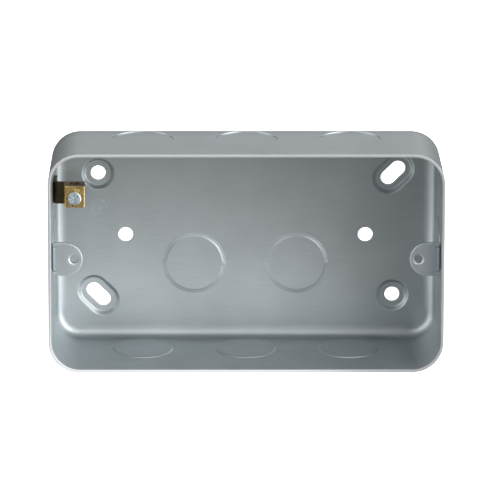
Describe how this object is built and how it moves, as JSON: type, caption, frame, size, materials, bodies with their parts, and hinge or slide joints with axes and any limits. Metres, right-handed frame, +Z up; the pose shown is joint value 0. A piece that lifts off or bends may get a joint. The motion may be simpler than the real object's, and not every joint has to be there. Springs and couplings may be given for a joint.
{
  "type": "flush back box",
  "caption": "Rectangular drawn-steel back box with rounded corners, conduit knockouts, dished fixing holes, threaded lugs and a brass earth terminal.",
  "frame": {"origin": "middle of the mounting plane on which the four corner feet bear, at the centre of the fixing holes", "axes": "+X to the right along the long side, +Y toward the wall behind, +Z up as mounted; the open front faces -Y"},
  "size_m": [0.1388, 0.04, 0.079],
  "materials": {
    "galvanised_steel": "satin galvanised sheet with a faint lengthwise grain",
    "galvanised_steel_lug": "satin galvanised sheet",
    "brass": "satin brass",
    "plated_steel": "bright zinc plate",
    "rivet_steel": "dull zinc plate"
  },
  "bodies": {
    "root": {"box_shell": "galvanised_steel", "left_lug": "galvanised_steel_lug", "right_lug": "galvanised_steel_lug", "earth_terminal": "brass", "earth_terminal_screw": "plated_steel", "earth_terminal_rivet": "rivet_steel"}
  },
  "joints": []
}
